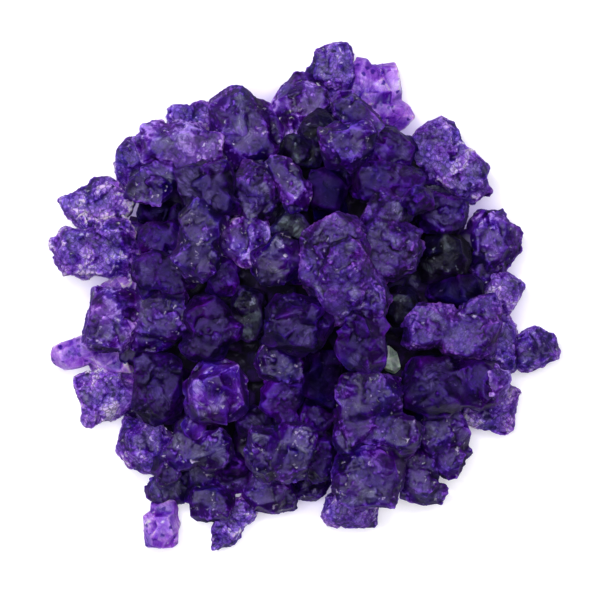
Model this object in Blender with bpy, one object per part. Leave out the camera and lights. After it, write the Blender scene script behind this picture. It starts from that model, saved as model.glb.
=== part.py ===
"""Rock candy: a loose heap of purple sugar crystals, as it lies on a table.

Each lump is a cluster of a few blocky sugar crystals that have grown into each other.
The lumps are laid in plan first, and each one then comes down until it rests on those
below it. Everything is joined to a low core, which stands for the lumps that nobody sees.
Metres, +Z up. The origin is on the table, under the middle of the heap.
"""

import math
import random

import bmesh
import bpy
import numpy as np
from mathutils import Matrix, Vector

MM = 0.001
NODE = "candy_heap"

# The core of hidden lumps: a low dome that reaches below the table, where it is cut off flat.
CORE_RADIUS = 35.0 * MM
CORE_HEIGHT = 12.5 * MM
CORE_ROUNDNESS = 0.75
CORE_FOOT = 1.0 * MM
CORE_RINGS = 6
CORE_SIDES = 24

# A ring of lumps round the core, half hidden under those that show from above.
RING_RADIUS = 33.5
RING_COUNT = 20
RING_SEED = 3
RING_LENGTH = (8.0, 11.0)
RING_SLIMNESS = (0.70, 0.90)
RING_STRAY = 1.6

# A crystal: the blank that it is cut from, how deep it is for its width, how far it leans and
# lies off its lump's mid-level, and how many faces it gets and how close to its middle.
BLANK_SIZE = 60.0 * MM
DEPTH_SHARE = 0.84
MOST_LEAN = 13.0
LEVEL_JITTER = 0.10
FACES_CUT = 10
SQUARENESS = 1.5
LEAST_CUT, MOST_CUT = 0.90, 1.03

# How the lumps come to rest: the grid they are felt on, and how far they settle into gaps.
CELL = 0.5 * MM
HALF_FIELD = 62.0 * MM
RESTING_SHARE = 0.88
TABLE_CONTACT = 0.35 * MM
RIM_LIFT = 2.0 * MM
MOUND_HEIGHT = 27.5 * MM
MOUND_RADIUS = 62.0 * MM
SLAB = 30.0 * MM

# Moves the plan so that the middle of the heap's outline is over the origin.
PLAN_SHIFT = (0.5 * MM, 0.0 * MM)

# The lumps, from the lowest layer to the top one. A lump is one or more crystals, and a
# crystal is (right, up, length, width) in millimetres of the plan and its turn in degrees.
SHADOWED = (
    ((-29.0, 16.6, 9.2, 6.2, 0),),
    ((2.6, 33.4, 7.4, 6.0, 40),),
    ((-0.6, 28.6, 9.6, 5.4, -5),),
    ((4.0, 20.6, 8.8, 8.2, 60), (5.0, 17.0, 7.0, 4.6, 0)),
    ((-3.0, 13.2, 7.4, 6.8, 45),),
    ((19.0, -2.6, 8.2, 5.6, 80),),
    ((30.2, 0.4, 11.2, 6.4, -3),),
    ((-11.0, -4.0, 9.8, 6.4, 100),),
    ((3.4, -16.6, 12.0, 7.4, 85),),
    ((17.0, -13.0, 5.6, 3.2, 105),),
    ((1.4, -38.6, 6.4, 4.8, 0),),
)
RIM = (
    ((-41.6, 18.2, 12.4, 8.4, 22), (-38.2, 18.6, 7.6, 5.4, -10)),
    ((-35.4, 26.8, 9.2, 5.6, 85), (-33.6, 27.6, 6.4, 4.8, 60)),
    ((-25.0, 35.2, 5.6, 5.2, 90), (-21.2, 35.4, 6.6, 6.0, 60)),
    (
        (-13.4, 33.4, 16.0, 11.0, 98),
        (-9.4, 32.6, 12.0, 8.4, 118),
        (-15.4, 38.4, 7.0, 5.0, 25),
        (-9.0, 27.6, 7.0, 5.0, 15),
    ),
    ((-1.0, 38.0, 11.4, 8.4, -5), (-0.8, 42.2, 5.0, 4.4, 0), (-2.4, 35.0, 7.0, 5.4, 75)),
    ((6.2, 45.8, 9.6, 6.8, 96), (7.2, 49.0, 3.6, 3.8, 0), (6.8, 41.8, 5.0, 4.8, 0)),
    (
        (13.2, 41.0, 9.6, 7.0, 68),
        (16.6, 42.6, 8.0, 4.8, 95),
        (16.8, 36.2, 7.8, 5.6, -10),
        (19.8, 36.6, 4.8, 3.6, -50),
    ),
    (
        (26.4, 30.4, 10.0, 9.4, 30),
        (30.0, 25.4, 13.4, 9.0, -42),
        (34.2, 22.2, 5.4, 4.6, -60),
        (25.4, 26.0, 8.0, 5.6, 90),
    ),
    ((37.0, 11.4, 10.8, 8.0, 95), (40.0, 10.4, 8.8, 6.0, 75), (37.0, 5.4, 6.0, 5.6, 0)),
    ((39.6, 0.6, 7.4, 7.0, 60),),
    ((39.0, -10.0, 12.6, 6.4, 92),),
    ((45.8, -11.0, 8.2, 7.6, 40), (48.6, -9.6, 3.4, 3.2, 0), (42.4, -10.4, 3.6, 2.6, 0)),
    ((38.6, -22.6, 9.2, 6.8, 80), (35.2, -23.8, 6.4, 5.2, 0), (33.0, -21.8, 6.0, 5.4, 40)),
    ((27.0, -27.0, 11.4, 9.8, -60), (29.4, -33.0, 7.4, 4.8, 60), (31.8, -30.6, 3.6, 2.6, 90)),
    ((23.0, -36.0, 11.8, 7.4, 88), (25.6, -40.0, 6.0, 3.6, 10)),
    ((9.0, -43.2, 11.6, 7.0, -5),),
    ((-7.4, -40.0, 11.6, 7.2, -8),),
    ((-13.4, -43.8, 6.4, 5.8, 20), (-15.8, -47.8, 5.6, 5.6, 0)),
    ((-19.0, -41.6, 9.6, 6.8, -5),),
    ((-28.8, -47.4, 7.0, 6.8, 0), (-28.4, -43.4, 5.2, 5.0, 90)),
    ((-27.8, -39.2, 7.6, 5.6, -10),),
    ((-40.2, -19.6, 10.4, 9.8, 20), (-36.6, -20.6, 5.0, 5.2, 0)),
    ((-45.4, -11.4, 9.4, 5.6, 22), (-38.6, -13.4, 8.8, 5.2, 5), (-48.6, -12.8, 4.6, 2.8, 5)),
    ((-45.8, 9.0, 9.8, 9.0, -20), (-38.4, 9.8, 11.6, 10.0, 95), (-42.0, 6.6, 10.0, 5.0, -12)),
    ((-33.6, -24.6, 6.4, 3.6, 90),),
)
MIDDLE = (
    ((-30.6, 30.4, 7.2, 6.8, 30), (-25.0, 29.8, 10.4, 9.0, 0), (-20.0, 29.0, 8.4, 7.6, 80)),
    ((-31.0, 21.4, 8.2, 6.6, -20), (-28.6, 23.8, 6.2, 5.4, 20)),
    ((17.2, 29.0, 9.4, 7.8, -35),),
    ((16.6, 22.6, 14.6, 8.2, -8),),
    ((21.6, 18.6, 4.4, 4.0, 60),),
    ((27.8, 16.4, 10.0, 8.4, 0),),
    ((27.8, 9.4, 8.4, 5.8, 12), (28.0, 6.6, 10.2, 6.8, 10)),
    ((-28.6, 10.8, 9.0, 7.8, 0),),
    ((-28.0, 4.6, 14.2, 7.4, -8),),
    ((-16.2, 3.4, 7.4, 5.6, 85),),
    ((-29.0, -0.4, 10.0, 5.6, -5), (-29.0, -4.6, 11.4, 8.0, -10), (-30.6, -8.6, 9.2, 5.4, 5)),
    ((-39.0, -5.4, 13.4, 9.6, 82),),
    ((-29.4, -18.4, 14.6, 9.2, 88),),
    ((-20.0, -4.6, 8.8, 8.0, 60), (-15.4, -6.6, 8.2, 5.4, 10), (-19.6, -10.0, 9.6, 6.0, 0)),
    ((-31.6, -30.6, 11.6, 9.4, -18),),
    ((-27.8, -35.6, 5.6, 5.0, 30),),
    ((-10.4, -25.2, 7.2, 5.6, 10),),
    ((3.0, -32.6, 9.0, 6.0, 95), (1.4, -24.8, 7.0, 6.0, 60)),
    ((12.6, -35.4, 14.0, 10.0, 5), (16.0, -31.6, 14.6, 3.8, 5), (12.6, -38.8, 12.0, 7.2, 0)),
    ((25.4, -18.0, 12.0, 12.0, 0), (33.0, -17.4, 12.0, 9.6, -8)),
    ((37.4, -17.4, 8.0, 6.0, 70),),
    ((-5.0, -13.8, 10.2, 6.4, -20),),
    ((-4.4, -20.0, 8.8, 6.0, -5), (-3.8, -23.4, 3.8, 3.6, 0)),
    ((-12.2, 11.0, 10.2, 8.8, -10),),
    ((-20.4, 14.0, 9.0, 8.0, -60), (-21.0, 7.0, 8.8, 8.2, 40)),
)
TOP = (
    ((8.6, 30.0, 10.6, 9.2, 15),),
    ((10.2, 35.6, 11.6, 5.4, -44), (7.6, 38.4, 4.8, 4.4, 0)),
    ((-2.4, 21.0, 8.2, 5.8, -62), (-4.4, 25.2, 5.2, 4.2, -50)),
    ((-9.8, 20.6, 10.6, 9.2, 70),),
    ((-19.8, 23.0, 11.2, 6.4, 4), (-18.6, 19.0, 9.4, 8.4, -40)),
    ((-5.4, 6.6, 10.0, 8.4, 30),),
    ((16.6, 16.0, 9.4, 8.8, 60), (17.0, 9.0, 12.4, 12.0, 80)),
    (
        (6.4, 10.2, 12.4, 11.6, 20),
        (8.0, 2.0, 15.2, 14.4, -60),
        (3.4, 6.0, 9.6, 8.0, 90),
        (11.4, -1.0, 9.0, 8.6, 100),
    ),
    ((-2.4, -6.0, 11.2, 10.4, 80), (1.4, -6.0, 8.0, 7.6, -30)),
    (
        (11.6, -5.0, 4.8, 3.8, 90),
        (14.8, -6.2, 3.6, 3.4, 60),
        (11.0, -10.0, 9.4, 8.0, 30),
        (12.6, -12.6, 6.4, 5.2, 0),
    ),
    ((25.0, -6.6, 10.8, 8.8, 0), (32.0, -8.0, 12.4, 9.2, -15), (35.0, -2.6, 8.8, 4.6, 15)),
    (
        (12.4, -19.8, 13.8, 9.8, 0),
        (12.0, -24.6, 13.2, 9.4, 0),
        (18.6, -27.4, 9.4, 7.0, -10),
        (8.0, -29.0, 5.2, 5.0, 90),
    ),
    ((-18.2, -19.6, 13.4, 12.8, 100), (-17.8, -15.2, 8.4, 5.2, 0), (-22.4, -26.0, 6.0, 4.4, 100)),
    ((-24.4, -31.4, 8.0, 6.6, 60), (-18.6, -31.4, 8.0, 7.0, 20)),
    ((-7.8, -31.4, 9.0, 8.0, 80), (-2.6, -31.4, 12.4, 8.0, 75)),
)
# A lump that lies on the table in the gap that the others leave near the front edge.
FILLING = (((-14.6, -36.6, 8.0, 6.6, 25),),)


def clear_scene():
    """Removes whatever the file came with."""
    for obj in list(bpy.data.objects):
        bpy.data.objects.remove(obj)


def sugar_material():
    """Deep violet boiled sugar, with a dull crust."""
    material = bpy.data.materials.new("violet_rock_sugar")
    material.use_nodes = True
    shader = material.node_tree.nodes["Principled BSDF"]
    shader.inputs["Base Color"].default_value = (0.05, 0.018, 0.20, 1.0)
    shader.inputs["Roughness"].default_value = 0.42
    shader.inputs["Metallic"].default_value = 0.0
    return material


def reach(normal, half_sizes):
    """How far a rounded box of these half sizes reaches along a direction from its middle."""
    sides = (abs(n) * half for n, half in zip(normal, half_sizes))
    return sum(side**SQUARENESS for side in sides) ** (1.0 / SQUARENESS)


def cut_crystal(crystal, draw):
    """One crystal as its middle and its faces, rows of (nx, ny, nz, distance from the origin).

    Heights are counted from the mid-level of the lump that the crystal is in.
    """
    right, up, length, width, turn = crystal
    depth = DEPTH_SHARE * width
    half_sizes = [0.5 * MM * side for side in (length, width, depth)]
    normals = [Vector(axis) for axis in np.vstack([np.eye(3), -np.eye(3)])]
    for _ in range(FACES_CUT):
        normals.append(Vector([draw.gauss(0.0, 1.0) for _ in range(3)]).normalized())
    lean = [math.radians(draw.uniform(-MOST_LEAN, MOST_LEAN)) for _ in range(2)]
    turned = (
        Matrix.Rotation(math.radians(turn), 3, "Z")
        @ Matrix.Rotation(lean[0], 3, "X")
        @ Matrix.Rotation(lean[1], 3, "Y")
    )
    level = draw.uniform(-LEVEL_JITTER, LEVEL_JITTER) * depth * MM
    middle = Vector((right * MM + PLAN_SHIFT[0], up * MM + PLAN_SHIFT[1], level))
    planes = []
    for normal in normals:
        distance = reach(normal, half_sizes) * draw.uniform(LEAST_CUT, MOST_CUT)
        outward = turned @ normal
        planes.append((*outward, distance + outward.dot(middle)))
    return middle, np.array(planes)


def heights_over(planes, x, y):
    """The lower and upper surface of a convex block of planes over each plan point."""
    low = np.full(x.shape, -np.inf)
    high = np.full(x.shape, np.inf)
    for nx, ny, nz, distance in planes:
        if abs(nz) < 1e-6:
            outside = nx * x + ny * y > distance
            high = np.where(outside, -np.inf, high)
            continue
        z = (distance - nx * x - ny * y) / nz
        if nz > 0:
            high = np.minimum(high, z)
        else:
            low = np.maximum(low, z)
    return low, high


def core_height(radius):
    """How high the hidden core stands at this distance from the middle of the heap."""
    share = np.clip(1.0 - (radius / CORE_RADIUS) ** 2, 0.0, 1.0)
    return CORE_HEIGHT * share**CORE_ROUNDNESS


def ring_lumps():
    """The half-hidden lumps round the core, each one crystal lying along the ring or across it."""
    draw = random.Random(RING_SEED)
    lumps = []
    for number in range(RING_COUNT):
        around = math.tau * (number + draw.uniform(-0.2, 0.2)) / RING_COUNT
        radius = RING_RADIUS + draw.uniform(-RING_STRAY, RING_STRAY)
        length = draw.uniform(*RING_LENGTH)
        width = length * draw.uniform(*RING_SLIMNESS)
        turn = draw.uniform(0.0, 180.0)
        lumps.append(((radius * math.cos(around), radius * math.sin(around), length, width, turn),))
    return lumps


def mound_height(radius):
    """How high a lump may stand at this distance from the middle before it slides down."""
    return MOUND_HEIGHT * (1.0 - (radius / MOUND_RADIUS) ** 2)


def settle(lumps, lifts):
    """Lets each lump down in turn on the core, the table and the lumps below it.

    A lump is lifted off the table by no more than its layer's lift, as at the rim, where lumps
    lean on their neighbours, and no lump stands out of the mound: it slides in among the others.
    Returns how far each lump's mid-level comes to lie above the table.
    """
    line = np.arange(-HALF_FIELD, HALF_FIELD, CELL) + 0.5 * CELL
    x, y = np.meshgrid(line, line, indexing="ij")
    surface = core_height(np.hypot(x, y))
    rises = []
    for lump, lift in zip(lumps, lifts):
        low = np.full(x.shape, np.inf)
        high = np.full(x.shape, -np.inf)
        for _, planes in lump:
            block_low, block_high = heights_over(planes, x, y)
            covered = block_low < block_high
            low = np.where(covered, np.minimum(low, block_low), low)
            high = np.where(covered, np.maximum(high, block_high), high)
        under = high > low
        on_lumps = np.quantile(surface[under] - low[under], RESTING_SHARE)
        on_table = -low[under].min() - TABLE_CONTACT
        in_mound = mound_height(np.hypot(x[under], y[under]).mean()) - high[under].max()
        rise = max(min(on_lumps, on_table + lift, in_mound), on_table)
        surface[under] = np.maximum(surface[under], high[under] + rise)
        rises.append(rise)
    return rises


def crystal_object(name, crystal, rise, collection):
    """One crystal, cut from a cube by its planes."""
    middle, planes = crystal
    mesh = bpy.data.meshes.new(name)
    cut = bmesh.new()
    bmesh.ops.create_cube(cut, size=BLANK_SIZE)
    bmesh.ops.translate(cut, verts=cut.verts, vec=middle)
    for nx, ny, nz, distance in planes:
        normal = Vector((nx, ny, nz))
        whole = [*cut.verts, *cut.edges, *cut.faces]
        made = bmesh.ops.bisect_plane(
            cut, geom=whole, plane_co=normal * distance, plane_no=normal, clear_outer=True, dist=1e-7
        )
        rim = [item for item in made["geom_cut"] if isinstance(item, bmesh.types.BMEdge)]
        if rim:
            bmesh.ops.contextual_create(cut, geom=rim)
    bmesh.ops.translate(cut, verts=cut.verts, vec=Vector((0.0, 0.0, rise)))
    bmesh.ops.recalc_face_normals(cut, faces=cut.faces)
    cut.to_mesh(mesh)
    cut.free()
    obj = bpy.data.objects.new(name, mesh)
    collection.objects.link(obj)
    return obj


def core_object(name, collection):
    """The hidden core: a turned dome whose foot reaches below the table."""
    radii = [CORE_RADIUS * math.sin(0.5 * math.pi * i / CORE_RINGS) for i in range(CORE_RINGS + 1)]
    profile = [(radius, float(core_height(radius))) for radius in radii]
    profile.append((CORE_RADIUS, -CORE_FOOT))
    profile.append((0.0, -CORE_FOOT))
    mesh = bpy.data.meshes.new(name)
    turned = bmesh.new()
    points = [turned.verts.new((radius, 0.0, height)) for radius, height in profile]
    edges = [turned.edges.new(pair) for pair in zip(points, points[1:])]
    bmesh.ops.spin(
        turned,
        geom=[*points, *edges],
        axis=(0.0, 0.0, 1.0),
        cent=(0.0, 0.0, 0.0),
        steps=CORE_SIDES,
        angle=math.tau,
        use_merge=True,
    )
    bmesh.ops.remove_doubles(turned, verts=turned.verts, dist=0.001 * MM)
    bmesh.ops.recalc_face_normals(turned, faces=turned.faces)
    turned.to_mesh(mesh)
    turned.free()
    obj = bpy.data.objects.new(name, mesh)
    collection.objects.link(obj)
    return obj


def below_table(collection):
    """A slab that takes away what reaches below the table."""
    bpy.ops.mesh.primitive_cube_add(size=1.0)
    slab = bpy.context.active_object
    slab.name = "below_table"
    slab.scale = (4.0 * HALF_FIELD, 4.0 * HALF_FIELD, SLAB)
    slab.location = (0.0, 0.0, -0.5 * SLAB)
    slab.hide_render = True
    slab.display_type = "WIRE"
    for holder in list(slab.users_collection):
        holder.objects.unlink(slab)
    collection.objects.link(slab)
    return slab


def apply_modifiers(obj):
    """Makes what the modifiers show the object's own mesh."""
    graph = bpy.context.evaluated_depsgraph_get()
    mesh = bpy.data.meshes.new_from_object(obj.evaluated_get(graph))
    obj.modifiers.clear()
    obj.data = mesh


def main():
    clear_scene()
    heap_parts = bpy.data.collections.new("rock_candy_heap")
    crystals = bpy.data.collections.new("crystals")
    cutters = bpy.data.collections.new("cutters")
    for collection in (heap_parts, crystals, cutters):
        bpy.context.scene.collection.children.link(collection)

    layers = (
        (ring_lumps(), 0.0),
        (SHADOWED, math.inf),
        (RIM, RIM_LIFT),
        (MIDDLE, math.inf),
        (TOP, math.inf),
        (FILLING, 0.0),
    )
    lumps = []
    lifts = []
    for layer, lift in layers:
        for lump in layer:
            draw = random.Random(len(lumps))
            lumps.append([cut_crystal(crystal, draw) for crystal in lump])
            lifts.append(lift)
    rises = settle(lumps, lifts)
    for number, (lump, rise) in enumerate(zip(lumps, rises)):
        for part, crystal in enumerate(lump):
            crystal_object(f"crystal_{number:02d}_{part}", crystal, rise, crystals)

    heap = core_object(NODE, heap_parts)
    heap.data.materials.append(sugar_material())
    join = heap.modifiers.new("join_crystals", "BOOLEAN")
    join.operation = "UNION"
    join.operand_type = "COLLECTION"
    join.collection = crystals
    join.solver = "MANIFOLD"
    trim = heap.modifiers.new("trim_at_table", "BOOLEAN")
    trim.operation = "DIFFERENCE"
    trim.object = below_table(cutters)
    trim.solver = "MANIFOLD"
    bpy.context.view_layer.update()
    apply_modifiers(heap)
    for obj in list(crystals.objects):
        bpy.data.objects.remove(obj)
    bpy.data.collections.remove(crystals)


main()
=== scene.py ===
# %% [markdown]
# # A heap of violet rock sugar
#
# Rock candy is sugar that grew in a strong, dyed syrup and was broken into lumps. Each lump is
# a cluster of boxy crystals with a crust of small ones, see-through where it is thin and nearly
# black where it is thick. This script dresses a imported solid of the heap: it rebuilds every lump
# where the solid has it, gives it its crust, and colours it as the dye has taken.

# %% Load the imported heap
import math
import random

import bmesh
import bpy
import numpy as np
from mathutils import Matrix, Vector


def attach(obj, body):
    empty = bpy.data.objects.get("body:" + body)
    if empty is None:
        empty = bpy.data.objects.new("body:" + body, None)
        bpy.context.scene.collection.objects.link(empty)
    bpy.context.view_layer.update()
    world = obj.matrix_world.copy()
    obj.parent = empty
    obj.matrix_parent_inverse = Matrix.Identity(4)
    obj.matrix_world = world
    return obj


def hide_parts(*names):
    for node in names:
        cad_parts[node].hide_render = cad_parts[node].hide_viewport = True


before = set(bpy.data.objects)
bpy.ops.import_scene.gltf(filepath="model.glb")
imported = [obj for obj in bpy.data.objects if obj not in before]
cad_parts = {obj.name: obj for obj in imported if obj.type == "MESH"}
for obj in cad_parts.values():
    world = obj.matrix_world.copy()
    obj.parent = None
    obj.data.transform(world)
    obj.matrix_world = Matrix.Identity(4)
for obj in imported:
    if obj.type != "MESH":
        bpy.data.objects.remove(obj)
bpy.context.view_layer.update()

MM = 0.001
NODE = "candy_heap"
scene = bpy.context.scene


# %% [markdown]
# ## Small helpers
#
# Colours are easiest to pick as the hex values of a paint program, but Blender's shaders count
# light, so each value is turned from sRGB to linear. And a node tree is easier to read when
# one call adds a node, sets it up and links it: a value that is another node becomes a link
# from its output, and anything else is set on the socket. Many nodes have more sockets than
# their setting uses, so only those that are switched on are counted.

# %% Colour and node helpers
def linear(hex_colour):
    """An sRGB hex colour as linear red, green, blue and alpha."""
    shares = [int(hex_colour[i : i + 2], 16) / 255 for i in (1, 3, 5)]
    return (*[s / 12.92 if s <= 0.04045 else ((s + 0.055) / 1.055) ** 2.4 for s in shares], 1.0)


def feed(tree, value, slot):
    """Links a node or an output to the socket, or sets the socket to a plain value."""
    if isinstance(value, bpy.types.Node):
        value = next(socket for socket in value.outputs if socket.enabled)
    if isinstance(value, bpy.types.NodeSocket):
        tree.links.new(value, slot)
    else:
        slot.default_value = value


def add(tree, kind, inputs=None, **settings):
    """Adds a node with its settings, then feeds its inputs by name or by number."""
    node = tree.nodes.new(kind)
    for name, value in settings.items():
        setattr(node, name, value)
    slots = [socket for socket in node.inputs if socket.enabled]
    for key, value in (inputs or {}).items():
        slot = slots[key] if isinstance(key, int) else next(s for s in slots if s.name == key)
        feed(tree, value, slot)
    return node


print("black and white:", linear("#000000"), linear("#ffffff"))


# %% [markdown]
# ## The camera
#
# The photo looks straight down on the heap. A long lens far above keeps the lumps at the top
# as large as those on the table, and the field is set from the real width that the photo shows.
# A camera without perspective would do as well from above, but it would flatten other views.

# %% Camera
PHOTO_WIDTH = 121.6 * MM
CAMERA_HEIGHT = 1100 * MM
SCALE_LEVEL = 10 * MM  # the height at which the photo is this wide
PLAN_SHIFT = (0.5 * MM, 0.0 * MM)  # puts the middle of the heap's box at the origin
PHOTO_MIDDLE = (-0.2 * MM, -1.6 * MM)

camera_data = bpy.data.cameras.new("camera")
camera_data.lens = camera_data.sensor_width * (CAMERA_HEIGHT - SCALE_LEVEL) / PHOTO_WIDTH
camera_data.clip_start = 0.01
camera = bpy.data.objects.new("camera", camera_data)
camera.location = (
    PHOTO_MIDDLE[0] + PLAN_SHIFT[0],
    PHOTO_MIDDLE[1] + PLAN_SHIFT[1],
    CAMERA_HEIGHT,
)
scene.collection.objects.link(camera)
scene.camera = camera
print("lens:", round(camera_data.lens), "mm")


# %% [markdown]
# ## The lumps
#
# The heap is described from above, lump by lump, from those in the shadows at the bottom to
# those on top. The lumps could be strewn at random, but then none would lie where the photo
# has it. A lump has a kind, which says how the dye took and how it is crusted, and one or more
# crystals, each with its place in the plan, its length, its width and its turn. The last two
# lumps lie deep in chinks of the rim, and only this dressed heap has them.

# %% Plan of the heap, in millimetres and degrees
SHADOWED = (
    ("night", ((-29.0, 16.6, 9.2, 6.2, 0),)),
    ("dark", ((2.6, 33.4, 7.4, 6.0, 40),)),
    ("dark", ((-0.6, 28.6, 9.6, 5.4, -5),)),
    ("night", ((4.0, 20.6, 8.8, 8.2, 60), (5.0, 17.0, 7.0, 4.6, 0))),
    ("dark", ((-3.0, 13.2, 7.4, 6.8, 45),)),
    ("dark", ((19.0, -2.6, 8.2, 5.6, 80),)),
    ("night", ((30.2, 0.4, 11.2, 6.4, -3),)),
    ("dark", ((-11.0, -4.0, 9.8, 6.4, 100),)),
    ("night", ((3.4, -16.6, 12.0, 7.4, 85),)),
    ("undyed", ((17.0, -13.0, 5.6, 3.2, 105),)),
    ("dusky", ((1.4, -38.6, 6.4, 4.8, 0),)),
)
RIM = (
    ("bright", ((-41.6, 18.2, 12.4, 8.4, 22), (-38.2, 18.6, 7.6, 5.4, -10))),
    ("bright", ((-35.4, 26.8, 9.2, 5.6, 85), (-33.6, 27.6, 6.4, 4.8, 60))),
    ("bright", ((-25.0, 35.2, 5.6, 5.2, 90), (-21.2, 35.4, 6.6, 6.0, 60))),
    (
        "dusky",
        (
            (-13.4, 33.4, 16.0, 11.0, 98),
            (-9.4, 32.6, 12.0, 8.4, 118),
            (-15.4, 38.4, 7.0, 5.0, 25),
            (-9.0, 27.6, 7.0, 5.0, 15),
        ),
    ),
    (
        "violet",
        (
            (-1.0, 38.0, 11.4, 8.4, -5),
            (-0.8, 42.2, 5.0, 4.4, 0),
            (-2.4, 35.0, 7.0, 5.4, 75),
        ),
    ),
    ("bright", ((6.2, 45.8, 9.6, 6.8, 96), (7.2, 49.0, 3.6, 3.8, 0), (6.8, 41.8, 5.0, 4.8, 0))),
    (
        "pale",
        (
            (13.2, 41.0, 9.6, 7.0, 68),
            (16.6, 42.6, 8.0, 4.8, 95),
            (16.8, 36.2, 7.8, 5.6, -10),
            (19.8, 36.6, 4.8, 3.6, -50),
        ),
    ),
    (
        "bright",
        (
            (26.4, 30.4, 10.0, 9.4, 30),
            (30.0, 25.4, 13.4, 9.0, -42),
            (34.2, 22.2, 5.4, 4.6, -60),
            (25.4, 26.0, 8.0, 5.6, 90),
        ),
    ),
    ("violet", ((37.0, 11.4, 10.8, 8.0, 95), (40.0, 10.4, 8.8, 6.0, 75), (37.0, 5.4, 6.0, 5.6, 0))),
    ("bright", ((39.6, 0.6, 7.4, 7.0, 60),)),
    ("bright", ((39.0, -10.0, 12.6, 6.4, 92),)),
    (
        "bright",
        (
            (45.8, -11.0, 8.2, 7.6, 40),
            (48.6, -9.6, 3.4, 3.2, 0),
            (42.4, -10.4, 3.6, 2.6, 0),
        ),
    ),
    (
        "bright",
        (
            (38.6, -22.6, 9.2, 6.8, 80),
            (35.2, -23.8, 6.4, 5.2, 0),
            (33.0, -21.8, 6.0, 5.4, 40),
        ),
    ),
    (
        "dusky",
        (
            (27.0, -27.0, 11.4, 9.8, -60),
            (29.4, -33.0, 7.4, 4.8, 60),
            (31.8, -30.6, 3.6, 2.6, 90),
        ),
    ),
    ("dusky", ((23.0, -36.0, 11.8, 7.4, 88), (25.6, -40.0, 6.0, 3.6, 10))),
    ("bright", ((9.0, -43.2, 11.6, 7.0, -5),)),
    ("dusky", ((-7.4, -40.0, 11.6, 7.2, -8),)),
    ("bright", ((-13.4, -43.8, 6.4, 5.8, 20), (-15.8, -47.8, 5.6, 5.6, 0))),
    ("dusky", ((-19.0, -41.6, 9.6, 6.8, -5),)),
    ("pale", ((-28.8, -47.4, 7.0, 6.8, 0), (-28.4, -43.4, 5.2, 5.0, 90))),
    ("dusky", ((-27.8, -39.2, 7.6, 5.6, -10),)),
    ("bright", ((-40.2, -19.6, 10.4, 9.8, 20), (-36.6, -20.6, 5.0, 5.2, 0))),
    (
        "pale",
        (
            (-45.4, -11.4, 9.4, 5.6, 22),
            (-38.6, -13.4, 8.8, 5.2, 5),
            (-48.6, -12.8, 4.6, 2.8, 5),
        ),
    ),
    (
        "bright",
        (
            (-45.8, 9.0, 9.8, 9.0, -20),
            (-38.4, 9.8, 11.6, 10.0, 95),
            (-42.0, 6.6, 10.0, 5.0, -12),
        ),
    ),
    ("violet", ((-33.6, -24.6, 6.4, 3.6, 90),)),
)
MIDDLE = (
    (
        "violet",
        (
            (-30.6, 30.4, 7.2, 6.8, 30),
            (-25.0, 29.8, 10.4, 9.0, 0),
            (-20.0, 29.0, 8.4, 7.6, 80),
        ),
    ),
    ("dusky", ((-31.0, 21.4, 8.2, 6.6, -20), (-28.6, 23.8, 6.2, 5.4, 20))),
    ("deep", ((17.2, 29.0, 9.4, 7.8, -35),)),
    ("deep", ((16.6, 22.6, 14.6, 8.2, -8),)),
    ("deep", ((21.6, 18.6, 4.4, 4.0, 60),)),
    ("deep", ((27.8, 16.4, 10.0, 8.4, 0),)),
    ("dark", ((27.8, 9.4, 8.4, 5.8, 12), (28.0, 6.6, 10.2, 6.8, 10))),
    ("deep", ((-28.6, 10.8, 9.0, 7.8, 0),)),
    ("deep", ((-28.0, 4.6, 14.2, 7.4, -8),)),
    ("deep", ((-16.2, 3.4, 7.4, 5.6, 85),)),
    (
        "dusky",
        (
            (-29.0, -0.4, 10.0, 5.6, -5),
            (-29.0, -4.6, 11.4, 8.0, -10),
            (-30.6, -8.6, 9.2, 5.4, 5),
        ),
    ),
    ("violet", ((-39.0, -5.4, 13.4, 9.6, 82),)),
    ("deep", ((-29.4, -18.4, 14.6, 9.2, 88),)),
    (
        "deep",
        (
            (-20.0, -4.6, 8.8, 8.0, 60),
            (-15.4, -6.6, 8.2, 5.4, 10),
            (-19.6, -10.0, 9.6, 6.0, 0),
        ),
    ),
    ("bright", ((-31.6, -30.6, 11.6, 9.4, -18),)),
    ("dusky", ((-27.8, -35.6, 5.6, 5.0, 30),)),
    ("deep", ((-10.4, -25.2, 7.2, 5.6, 10),)),
    ("deep", ((3.0, -32.6, 9.0, 6.0, 95), (1.4, -24.8, 7.0, 6.0, 60))),
    (
        "dusky",
        (
            (12.6, -35.4, 14.0, 10.0, 5),
            (16.0, -31.6, 14.6, 3.8, 5),
            (12.6, -38.8, 12.0, 7.2, 0),
        ),
    ),
    ("deep", ((25.4, -18.0, 12.0, 12.0, 0), (33.0, -17.4, 12.0, 9.6, -8))),
    ("violet", ((37.4, -17.4, 8.0, 6.0, 70),)),
    ("dusky", ((-5.0, -13.8, 10.2, 6.4, -20),)),
    ("deep", ((-4.4, -20.0, 8.8, 6.0, -5), (-3.8, -23.4, 3.8, 3.6, 0))),
    ("violet", ((-12.2, 11.0, 10.2, 8.8, -10),)),
    ("dusky", ((-20.4, 14.0, 9.0, 8.0, -60), (-21.0, 7.0, 8.8, 8.2, 40))),
)
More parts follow.
